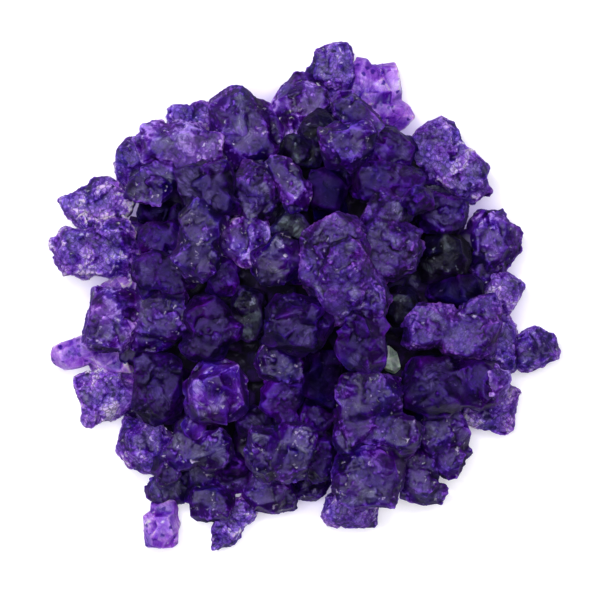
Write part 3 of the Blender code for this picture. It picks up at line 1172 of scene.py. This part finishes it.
def clouded(tree, shared, look, colour):
    """The colour with clouded patches of frost and painted sheen on it."""
    opening = add(
        tree,
        "ShaderNodeTexNoise",
        {"Vector": shared["swirled"], "Scale": scale_of(WINDOW), "W": 8.0, "Detail": 2.0},
        noise_dimensions="4D",
    )
    window = add(
        tree,
        "ShaderNodeMapRange",
        {
            "Value": opening,
            "From Min": WINDOW_EDGE[0],
            "From Max": WINDOW_EDGE[1],
            "To Max": look["windows"],
        },
    )
    level_face = add(
        tree,
        "ShaderNodeMapRange",
        {"Value": shared["up"], "From Min": WINDOW_LIES[0], "From Max": WINDOW_LIES[1]},
    )
    scoured = add(
        tree,
        "ShaderNodeMapRange",
        {"Value": shared["lines"], "From Min": 0.3, "From Max": 0.7, "To Min": SCOURED},
    )
    for mask in (level_face, scoured):
        window = add(tree, "ShaderNodeMath", {0: window, 1: mask}, operation="MULTIPLY")
    return add(
        tree,
        "ShaderNodeMix",
        {"Factor": window, "A": colour, "B": linear(look["rime"])},
        data_type="RGBA",
    )


print("clouded patches:", WINDOW, "mm wide")


# %% [markdown]
# ### Painted highlight flecks, seams and pits
#
# Light that is caught behind a small flaw comes out as a bright fleck, painted here as a
# highlight. Dark seams run between the crumbs of the crust, and in the clear lumps dark pits
# show where the syrup had bubbles.
# Each is a pattern of its own width, narrowed to its peaks or its cell borders and painted
# over the colour so far.

# %% Painted highlight flecks
FLECK = 1.3
FLECK_PEAK = (0.63, 0.77)  # the peaks of a noise, as for the clouded patches


def flecked(tree, shared, look, speckle, colour):
    """The colour with bright flecks of painted highlight."""
    glow = add(
        tree,
        "ShaderNodeTexNoise",
        {
            "Vector": shared["swirled"],
            "Scale": scale_of(FLECK),
            "Detail": 3.0,
            "Roughness": 0.55,
            "W": 5.0,
        },
        noise_dimensions="4D",
    )
    fleck = add(
        tree,
        "ShaderNodeMapRange",
        {
            "Value": glow,
            "From Min": FLECK_PEAK[0],
            "From Max": FLECK_PEAK[1],
            "To Max": look["flecks"],
        },
    )
    return add(
        tree,
        "ShaderNodeMix",
        {"Factor": fleck, "A": colour, "B": linear(speckle)},
        data_type="RGBA",
    )


print("flecks:", FLECK, "mm wide")


# %% Seams
CRUMB = 1.1
SEAM_WIDTH = 0.12  # of the crumb
BARE_SEAMS = 0.35  # what is left of a seam where there is no crust


def seamed(tree, shared, look, dark, colour):
    """The colour with dark seams, fainter where there is no crust."""
    crumbs = add(
        tree,
        "ShaderNodeTexVoronoi",
        {"Vector": shared["swirled"], "Scale": scale_of(CRUMB)},
        feature="DISTANCE_TO_EDGE",
    )
    border = add(
        tree,
        "ShaderNodeMapRange",
        {"Value": crumbs, "From Min": SEAM_WIDTH, "From Max": 0.0, "To Max": look["seams"]},
    )
    crusted = add(tree, "ShaderNodeMapRange", {"Value": shared["crust"], "To Min": BARE_SEAMS})
    seam = add(tree, "ShaderNodeMath", {0: border, 1: crusted}, operation="MULTIPLY")
    return add(
        tree, "ShaderNodeMix", {"Factor": seam, "A": colour, "B": linear(dark)}, data_type="RGBA"
    )


print("seams round crumbs of", CRUMB, "mm")


# %% Pits
PIT = 1.7
PIT_RIM, PIT_FLOOR = 0.34, 0.22  # distances from its middle, in widths of a cell


def pitted(tree, shared, look, dark, colour):
    """The colour with dark pits in a share of the cells."""
    cells = add(
        tree, "ShaderNodeTexVoronoi", {"Vector": shared["swirled"], "Scale": scale_of(PIT)}
    )
    cell_lot = add(tree, "ShaderNodeSeparateColor", {0: cells.outputs["Color"]})
    chosen = add(
        tree, "ShaderNodeMath", {0: cell_lot, 1: 1.0 - look["pits"]}, operation="GREATER_THAN"
    )
    near = add(
        tree,
        "ShaderNodeMapRange",
        {"Value": cells.outputs["Distance"], "From Min": PIT_RIM, "From Max": PIT_FLOOR},
    )
    pit = add(tree, "ShaderNodeMath", {0: chosen, 1: near}, operation="MULTIPLY")
    return add(
        tree, "ShaderNodeMix", {"Factor": pit, "A": colour, "B": linear(dark)}, data_type="RGBA"
    )


print("pits:", PIT, "mm apart")


# %% [markdown]
# ### The polish, and one sugar from its parts
#
# A few crystal faces are still polished and mirror the lights sharply. The others have been
# dulled, the crust more than they, and steep sides, where the syrup ran off, most of all. A
# fine bump stands for grains too small to model. Then one function makes a sugar from all the
# parts, and a list of usual amounts keeps the recipes short.

# %% Polish
POLISHED_FROM = 0.6  # lots under this are dull faces
CRUST_DULLNESS = 0.15
SLOPES_FROM, STEEP_FROM = 0.6, 0.2  # how level the skin lies
STEEP_DULLNESS = 0.6
GRIT = 0.6
GRIT_DEPTH = 0.3 * MM


def dullness(tree, shared, look):
    """The roughness at each point."""
    polished, dull = look["rough"]
    face = add(
        tree,
        "ShaderNodeMapRange",
        {
            "Value": shared["face lot"].outputs["Green"],
            "From Min": POLISHED_FROM,
            "From Max": 1.0,
            "To Min": dull,
            "To Max": polished,
        },
    )
    crusted = add(
        tree,
        "ShaderNodeMath",
        {0: shared["crust"], 1: CRUST_DULLNESS, 2: face},
        operation="MULTIPLY_ADD",
    )
    steep = add(
        tree,
        "ShaderNodeMapRange",
        {
            "Value": shared["up"],
            "From Min": SLOPES_FROM,
            "From Max": STEEP_FROM,
            "To Max": STEEP_DULLNESS,
        },
    )
    return add(tree, "ShaderNodeMath", {0: crusted, 1: steep}, operation="ADD")


def gritty(tree, shared, look):
    """A fine bump."""
    fine = add(
        tree,
        "ShaderNodeTexNoise",
        {"Vector": shared["place"], "Scale": scale_of(GRIT), "Detail": 3.0, "Roughness": 0.6},
    )
    return add(
        tree, "ShaderNodeBump", {"Height": fine, "Distance": GRIT_DEPTH, "Strength": look["grit"]}
    )


print("grit:", GRIT, "mm")


# %% One sugar from its parts
SUGAR_IOR = 1.54
SCATTERED = 0.7  # share of the light that wanders about inside
COLOUR_REACH = (0.6, 0.25, 1.0)  # how far red, green and blue get, as shares of the reach
LIGHT_REACH = 2.0 * MM
USUAL_LOOK = {
    "contrast": 1.3,  # from the thick of the dye to the thin, as shares of the ramp
    # painted light: steep sides are painted lighter, as if light came through them
    "thin_sides": 0.0,  # how much lighter steep sides are, where light comes through
    "spread": 0.16,  # how much lighter or darker one lump is than the next
    "lines": 0.25,  # strength of the growth lines
    # dust and painted sheen on level faces
    "frosting": 0.15,  # dust on level faces
    # clouded patches, partly frost and partly painted sheen, and their colour
    "windows": 0.5,  # strength of the clouded patches
    "rime": "#8c8ca8",  # colour of the clouded patches
    # strength of the painted highlight flecks
    "flecks": 0.5,
    "seams": 0.35,
    "pits": 0.0,  # share of the cells that have a pit
    "rough": (0.12, 0.36),  # roughness of a polished and of a dull face
    "grit": 0.25,  # strength of the fine bump
    "shine": 0.28,  # strength of the mirrored light, lower than a clean face has
    "sheen": "#c0b4e8",  # tint of the mirrored light
    "clear": 0.15,  # share of the light that goes straight through
}


def sugar(name, dyes, frost, speckle, **own):
    """Dyed rock sugar: its dyes from thick to thin, its frost and painted sheen colour, its painted
    highlight colour, and its own amounts.
    """
    look = USUAL_LOOK | own
    material = bpy.data.materials.new(name)
    material.use_nodes = True
    tree = material.node_tree
    shared = shared_patterns(tree)
    colour = dyed(tree, shared, look, dyes)
    colour = dusted(tree, shared, look, frost, colour)
    colour = clouded(tree, shared, look, colour)
    colour = flecked(tree, shared, look, speckle, colour)
    colour = seamed(tree, shared, look, dyes[0], colour)
    colour = pitted(tree, shared, look, dyes[0], colour)
    settings = {
        "Base Color": colour,
        "Roughness": dullness(tree, shared, look),
        "Normal": gritty(tree, shared, look),
        "IOR": SUGAR_IOR,
        "Specular IOR Level": look["shine"],
        "Specular Tint": linear(look["sheen"]),
        "Transmission Weight": look["clear"],
        "Subsurface Weight": SCATTERED,
        "Subsurface Radius": COLOUR_REACH,
        "Subsurface Scale": LIGHT_REACH,
    }
    for label, value in settings.items():
        feed(tree, value, tree.nodes["Principled BSDF"].inputs[label])
    return material


print("amounts to choose for each sugar:", len(USUAL_LOOK))


# %% [markdown]
# ### The sugars
#
# One dye made all of them: it is the thickness of the sugar, the frost on it and the light
# around it that make one lump nearly black and the next lilac. The recipes paint much of that
# light and shade into their colours, darker for the lumps in the gaps and lighter for those at
# the rim. So they go from the dark of the gaps to the clear lumps at the rim, and to the one
# lump that took no dye.

# %% Dark sugars
materials = {
    # Painted shade: near black and dull, so that the bottom of a gap gives no light back.
    "core": sugar(
        "boiled_sugar_core",
        ("#03020a", "#080418", "#10082c", "#1a0e40"),
        "#10082c",
        "#281858",
        flecks=0.1,
        clear=0.0,
        rough=(0.6, 0.9),
    ),
    # Half hidden under the rim: a dim violet without sparkle.
    "shaded": sugar(
        "boiled_sugar_shaded_violet",
        ("#050210", "#0e0628", "#1a0a44", "#30186a"),
        "#20144c",
        "#54409a",
        flecks=0.3,
    ),
    # Painted shade: near black for lumps that lie in the shadows, with a faint gloss.
    "night": sugar(
        "boiled_sugar_black_violet",
        ("#02010c", "#06021a", "#0e0632", "#201054"),
        "#0e0828",
        "#6c5aa0",
        flecks=0.3,
        windows=0.05,
        frosting=0.0,
        shine=0.08,
        sheen="#6a5ac0",
    ),
    # Nearly black too, but gritty, with painted grey glints and sheen.
    "dark": sugar(
        "boiled_sugar_dark",
        ("#030108", "#070418", "#100930", "#241850"),
        "#1c1a38",
        "#a0a4c0",
        flecks=0.7,
        windows=0.9,
        rime="#707c88",
        sheen="#9898a8",
        shine=0.16,
        grit=0.6,
    ),
}
print("dark sugars:", ", ".join(material.name for material in materials.values()))


# %% Violet sugars
materials |= {
    # Dark violet that is thick with dye, glossy on its flats.
    "deep": sugar(
        "boiled_sugar_deep_violet",
        ("#060317", "#140737", "#240e5c", "#42228e"),
        "#2c1b5e",
        "#8468c4",
        windows=0.45,
        rime="#7868ac",
        sheen="#9080d0",
    ),
    # The usual sugar of the heap: deep violet with whitish flecks of painted highlight.
    "dusky": sugar(
        "boiled_sugar_dusky_violet",
        ("#080320", "#160742", "#290f6a", "#6c4cbc"),
        "#44327a",
        "#e8dcfa",
        flecks=0.7,
        contrast=1.4,
    ),
    # Indigo under an even frost with painted sheen, as on the largest lumps.
    "frosted": sugar(
        "frosted_sugar_indigo",
        ("#0a031e", "#230f54", "#422488", "#825cbc"),
        "#4a3686",
        "#c4b0ec",
        flecks=0.7,
        contrast=1.6,
        seams=0.5,
        frosting=0.3,
    ),
    # Middle violet that turns lilac where it is thin, with painted light on its steep sides.
    "violet": sugar(
        "boiled_sugar_violet",
        ("#0a0326", "#230c58", "#4a2894", "#a88ee4"),
        "#62488e",
        "#f0e4ff",
        flecks=0.75,
        thin_sides=0.12,
        contrast=1.8,
    ),
    # A rounded lump with hardly any crust, glossy, with lilac clouds and a strong painted sheen.
    "polished": sugar(
        "polished_sugar_violet",
        ("#100530", "#2c1264", "#4a2a9a", "#9c82dc"),
        "#584690",
        "#f4e8ff",
        flecks=0.6,
        spread=0.0,
        windows=0.9,
        rime="#b4a2e4",
        frosting=0.1,
        rough=(0.10, 0.30),
        contrast=1.8,
    ),
}
print("dark and violet sugars:", len(materials))


# %% Clear sugars
materials |= {
    # Rough blue violet at the rim, where the card lights it from below.
    "bright": sugar(
        "crusted_sugar_blue_violet",
        ("#180a48", "#46269e", "#8c66dc", "#ecdeff"),
        "#9078c4",
        "#faf4ff",
        flecks=0.85,
        clear=0.4,
        frosting=0.1,
        seams=0.8,
        pits=0.15,
        thin_sides=0.12,
        contrast=2.0,
    ),
    # The clearest of the dyed lumps: lilac, with dark pits.
    "pale": sugar(
        "clear_sugar_lilac",
        ("#3c1490", "#8450d0", "#bc90ee", "#fff4ff"),
        "#c8b4e4",
        "#ffffff",
        flecks=0.9,
        clear=0.5,
        frosting=0.1,
        seams=0.85,
        pits=0.5,
        spread=0.0,
        thin_sides=0.1,
        contrast=1.8,
    ),
    # The lump that took no dye: grey green and clear.
    "undyed": sugar(
        "clear_sugar_grey_green",
        ("#20242c", "#4c585c", "#8c9a94", "#d0dcd4"),
        "#a0aca4",
        "#ffffff",
        clear=0.3,
        sheen="#f0f8f0",
    ),
}
print("all sugars:", len(materials))


# %% [markdown]
# ## Growing the lumps
#
# Every blank gets its stack of modifiers. Buds are set on it and melted in, and wide waves
# swell the skin. Decimate then cuts that down to a few hundred flats at most, as if the lump
# had been chipped with a hammer. On these the fine crust is scattered and melted in, weathering
# adds its grain and its notes, and a last Decimate leaves as many triangles as show. Blender
# evaluates all stacks in one go, on every core, and the results are kept as plain meshes,
# joined into one piece for each kind.

# %% How each kind grows
CRUST_COVER = {
    "shaded": 0.35,
    "night": 0.3,
    "dark": 0.45,
    "deep": 0.52,
    "dusky": 0.52,
    "frosted": 0.62,
    "violet": 0.55,
    "polished": 0.22,
    "bright": 0.66,
    "pale": 0.3,
    "undyed": 0.0,
}
# Share of the triangles that chipping leaves: the fewer, the larger the flats.
CHIPS = {"bright": 0.05, "violet": 0.045, "pale": 0.045, "deep": 0.045}
USUAL_CHIPS = 0.035
# Slope of the fine grain.
GRAIN_TILT = {"frosted": 0.16, "bright": 0.14}
USUAL_GRAIN_TILT = 0.10
# Finer voxels keep finer grains, and the lumps in the dark can do without those.
JOIN_VOXEL = 0.50 * MM
VOXEL = {"dark": 0.25 * MM, "night": 0.25 * MM, "shaded": 0.35 * MM}
USUAL_VOXEL = 0.20 * MM
KEPT = 0.28  # share of the triangles in the end
CRUST_SEED = 500
print("most and least crusted:", max(CRUST_COVER.values()), min(CRUST_COVER.values()))


# %% Sizes of the crust and the waves
BUDS = {
    "Spacing": 3.6 * MM,
    "Smallest": 2.4 * MM,
    "Largest": 5.6 * MM,
    "Sink": 0.46,
    "Cover": 0.46,
    "Patch Width": 8.0 * MM,
}
GRAINS = {
    "Spacing": 0.65 * MM,
    "Smallest": 0.4 * MM,
    "Largest": 1.4 * MM,
    "Sink": 0.34,
    "Patch Width": 5.0 * MM,
}
WAVES = {
    "Facet Width": FACET * MM,
    "Grain Width": GRAIN * MM,
    "Edge Depth": 0.06 * MM,
    "Patch Width": 5.0 * MM,
}
SWELL = WAVES | {"Swell": 0.7 * MM, "Swell Width": 4.0 * MM, "Facet Tilt": 0.35}
FINE_WAVES = WAVES | {"Swell Width": 6.0 * MM, "Facet Tilt": 0.05}
print("fine crust of", GRAINS["Smallest"] / MM, "to", GRAINS["Largest"] / MM, "mm")


# %% The stack of a lump
def add_melting(obj, name, voxel_size, rounds):
    """Melts what overlaps into one closed skin, and smooths off the steps of its voxels."""
    melt = obj.modifiers.new(name, "REMESH")
    melt.mode = "VOXEL"
    melt.voxel_size = voxel_size
    smooth = obj.modifiers.new(f"{name}_smooth", "SMOOTH")
    smooth.iterations = rounds


def add_reduction(obj, name, ratio):
    """Keeps this share of the triangles."""
    obj.modifiers.new(name, "DECIMATE").ratio = ratio


def add_growth(obj, kind, number):
    """The modifiers that grow a lump of this kind from its blank."""
    same = {"Material": materials[kind], "Seed": number + CRUST_SEED}
    fine = same | {"Cover": CRUST_COVER[kind]}
    tilt = GRAIN_TILT.get(kind, USUAL_GRAIN_TILT)
    add_nodes_modifier(obj, "buds", crust_tree, BUDS | same | {"Seed": number})
    add_melting(obj, "join", JOIN_VOXEL, 1)
    add_nodes_modifier(obj, "swell", weather_tree, SWELL | same)
    add_reduction(obj, "chip", CHIPS.get(kind, USUAL_CHIPS))
    add_nodes_modifier(obj, "grains", crust_tree, GRAINS | fine)
    add_melting(obj, "melt", VOXEL.get(kind, USUAL_VOXEL), 1)
    add_nodes_modifier(obj, "weather", weather_tree, FINE_WAVES | fine | {"Grain Tilt": tilt})
    add_reduction(obj, "thin", KEPT)


for number, (obj, kind) in enumerate(zip(blanks, kinds)):
    add_growth(obj, kind, number)
print("modifiers on each of", len(blanks), "blanks:", len(blanks[0].modifiers))


# %% Grow
graph = bpy.context.evaluated_depsgraph_get()
pieces = {}
for kind in sorted(set(kinds)):
    joined = bmesh.new()
    for obj in [obj for obj, its in zip(blanks, kinds) if its == kind]:
        grown = bpy.data.meshes.new_from_object(obj.evaluated_get(graph))
        joined.from_mesh(grown)
        bpy.data.meshes.remove(grown)
    mesh = bpy.data.meshes.new(f"{kind}_lumps")
    joined.to_mesh(mesh)
    joined.free()
    mesh.validate()
    mesh.materials.clear()
    mesh.materials.append(materials[kind])
    pieces[kind] = bpy.data.objects.new(f"{kind}_lumps", mesh)
    print(kind, "lumps:", len(mesh.polygons), "triangles")
for obj in blanks:
    bpy.data.objects.remove(obj)
for piece in pieces.values():
    scene.collection.objects.link(piece)


# %% [markdown]
# ## The core
#
# Under the lumps that show lie more of them. A dome stands for those, and the crust tree sets
# crystals as large as lumps on it, so that a gap shows another lump in the shadow and not a
# smooth mound. The dome is built ring by ring rather than spun, because a spin can number its
# faces another way in each run, and the scattered crystals follow the faces' numbers.

# %% Dome
CORE_RINGS, CORE_SIDES = 12, 48
CORE_SUNK = 1.5 * MM  # makes room for the lumps that are set on the dome
CORE_LOWEST = 0.3 * MM
CORE_EDGE = 1.0 * MM

core_cut = bmesh.new()
radii = [CORE_RADIUS * math.sin(0.5 * math.pi * i / CORE_RINGS) for i in range(CORE_RINGS + 1)]
heights = [max(float(core_height(radius)) - CORE_SUNK, CORE_EDGE) for radius in radii[:-1]]
turns = [math.tau * side / CORE_SIDES for side in range(CORE_SIDES)]
summit = core_cut.verts.new((0.0, 0.0, heights[0]))
foot = core_cut.verts.new((0.0, 0.0, CORE_LOWEST))
rings = [
    [core_cut.verts.new((radius * math.cos(t), radius * math.sin(t), height)) for t in turns]
    for radius, height in zip(radii[1:], [*heights[1:], CORE_LOWEST])
]
for side in range(CORE_SIDES):
    ahead = (side + 1) % CORE_SIDES
    core_cut.faces.new((summit, rings[0][side], rings[0][ahead]))
    for inner, outer in zip(rings, rings[1:]):
        core_cut.faces.new((inner[side], outer[side], outer[ahead], inner[ahead]))
    core_cut.faces.new((foot, rings[-1][ahead], rings[-1][side]))
core_mesh = bpy.data.meshes.new("core_dome")
core_cut.to_mesh(core_mesh)
core_cut.free()
dome = bpy.data.objects.new("core_dome", core_mesh)
scene.collection.objects.link(dome)
print("dome:", len(core_mesh.polygons), "faces")


# %% Lumps on the dome
HIDDEN = {
    "Spacing": 5.5 * MM,
    "Smallest": 7.0 * MM,
    "Largest": 9.5 * MM,
    "Sink": 0.20,
    "Cover": 1.2,
    "Patch Width": 20.0 * MM,
    "Seed": 7,
}
HIDDEN_WAVES = WAVES | {
    "Swell": 0.8 * MM,
    "Swell Width": 5.0 * MM,
    "Facet Tilt": 0.2,
    "Grain Tilt": 0.08,
}

same = {"Material": materials["core"]}
add_nodes_modifier(dome, "hidden_lumps", crust_tree, HIDDEN | same)
add_melting(dome, "melt", JOIN_VOXEL, 2)
add_nodes_modifier(dome, "weather", weather_tree, HIDDEN_WAVES | same)
graph = bpy.context.evaluated_depsgraph_get()
hidden_mesh = bpy.data.meshes.new_from_object(dome.evaluated_get(graph))
bpy.data.objects.remove(dome)
pieces["core"] = bpy.data.objects.new("hidden_lumps", hidden_mesh)
scene.collection.objects.link(pieces["core"])
print("hidden lumps:", len(hidden_mesh.polygons), "faces")


# %% [markdown]
# ## Table and light
#
# The heap lies on plain white card, as in a catalogue picture. Light that falls through the
# clear lumps paints a lavender glow on the card around them. The renderer would need far more
# light paths for that than it is given, so the card carries the tint itself: full under the
# heap and gone a little way outside it. The card also glows faintly, so that it comes out
# white without the lights bleaching the sugar.
#
# One large soft lamp lights the heap, a small one from the upper left gives it direction, and
# two more small ones from the sides give polished faces their glints. A dim white world stands
# for the walls of the room.

# %% Table
CARD_REACH = 3.0  # metres to each side

floor_cut = bmesh.new()
bmesh.ops.create_grid(floor_cut, x_segments=1, y_segments=1, size=CARD_REACH)
floor_mesh = bpy.data.meshes.new("floor")
floor_cut.to_mesh(floor_mesh)
floor_cut.free()
floor = bpy.data.objects.new("floor", floor_mesh)
scene.collection.objects.link(floor)
print("table:", len(floor_mesh.polygons), "face")


# %% White card
TINT_FULL = 34 * MM
TINT_GONE = 48 * MM
CARD_DULLNESS = 0.9
CARD_GLOW = 0.42

card = bpy.data.materials.new("white_card")
card.use_nodes = True
paper = card.node_tree.nodes["Principled BSDF"].inputs
place = add(card.node_tree, "ShaderNodeTexCoord").outputs["Object"]
radius = add(card.node_tree, "ShaderNodeVectorMath", {0: place}, operation="LENGTH")
plain = add(
    card.node_tree,
    "ShaderNodeMapRange",
    {"Value": radius.outputs["Value"], "From Min": TINT_FULL, "From Max": TINT_GONE},
    interpolation_type="SMOOTHSTEP",
)
for label, tinted, white in (
    ("Base Color", "#9c8cc8", "#d8d6dc"),
    ("Emission Color", "#b4a0dc", "#fbfaff"),
):
    colour = add(
        card.node_tree,
        "ShaderNodeMix",
        {"Factor": plain, "A": linear(tinted), "B": linear(white)},
        data_type="RGBA",
    )
    feed(card.node_tree, colour, paper[label])
paper["Roughness"].default_value = CARD_DULLNESS
paper["Emission Strength"].default_value = CARD_GLOW
floor_mesh.materials.append(card)
print("tint on the card: full at", TINT_FULL / MM, "and gone at", TINT_GONE / MM, "mm")


# %% Lights
WALL_COLOUR = (0.95, 0.92, 1.0, 1.0)
WALL_LIGHT = 0.12

scene.view_settings.view_transform = "Standard"
world = bpy.data.worlds.new("studio")
world.use_nodes = True
walls = world.node_tree.nodes["Background"].inputs
walls["Color"].default_value = WALL_COLOUR
walls["Strength"].default_value = WALL_LIGHT
scene.world = world


def softbox(name, place, side, power):
    """A square area light of this side in metres and power in watts, turned to the heap."""
    data = bpy.data.lights.new(name, "AREA")
    data.size = side
    data.energy = power
    obj = bpy.data.objects.new(name, data)
    obj.location = place
    obj.rotation_euler = (-Vector(place)).to_track_quat("-Z", "Y").to_euler()
    scene.collection.objects.link(obj)
    return obj


lights = (
    softbox("key", (-0.35, 0.5, 1.1), 0.12, 5.0),
    softbox("top", (-0.12, 0.18, 1.5), 1.2, 24.0),
    softbox("glint_left", (-0.7, -0.1, 1.0), 0.16, 2.5),
    softbox("glint_right", (0.5, 0.3, 1.1), 0.16, 2.5),
)
print("lights:", ", ".join(light.name for light in lights))


# %% [markdown]
# ## Handing the pieces over
#
# Every piece belongs to the one body of the heap and stands for its solid.

# %% Hand the pieces to the heap
for piece in pieces.values():
    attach(piece, "root")
    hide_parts(NODE)
